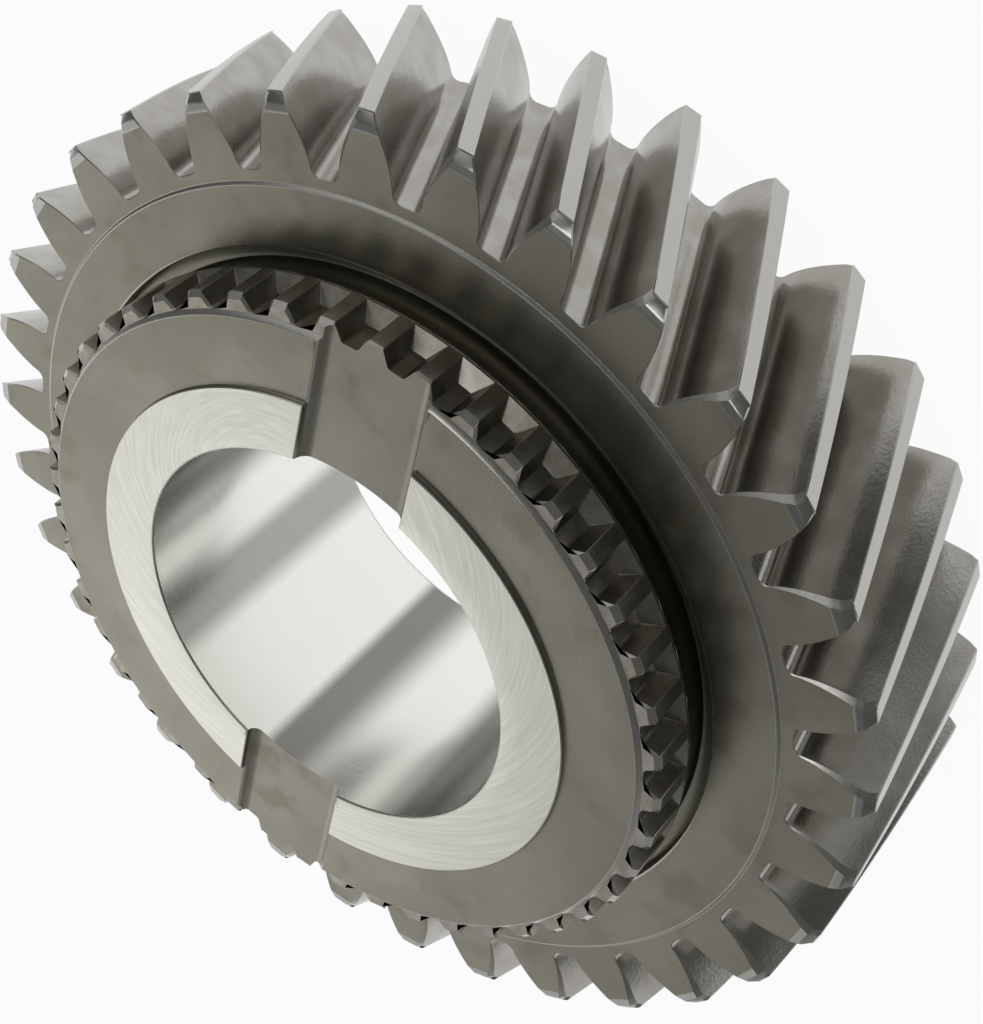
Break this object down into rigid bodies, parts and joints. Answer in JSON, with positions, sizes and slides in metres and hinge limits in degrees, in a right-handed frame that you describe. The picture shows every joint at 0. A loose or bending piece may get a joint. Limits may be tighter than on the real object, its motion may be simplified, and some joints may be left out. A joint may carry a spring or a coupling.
{
  "type": "transmission gear",
  "caption": "Helical transmission gear with a plain bore, a ring of straight clutch teeth on its hub and two shallow slots across the front face.",
  "frame": {"origin": "centre of the bore at the back face", "axes": "+Z along the bore towards the slotted front face, X along the two slots"},
  "size_m": [0.15, 0.15, 0.045],
  "materials": {
    "machined_steel": "hardened and blasted satin steel with a light oil film, flanks shot-peened",
    "ground_steel": "ground bright steel on the bore and the thrust ring, with fine circular grinding marks"
  },
  "bodies": {
    "root": {"gear": "machined_steel"}
  },
  "joints": []
}
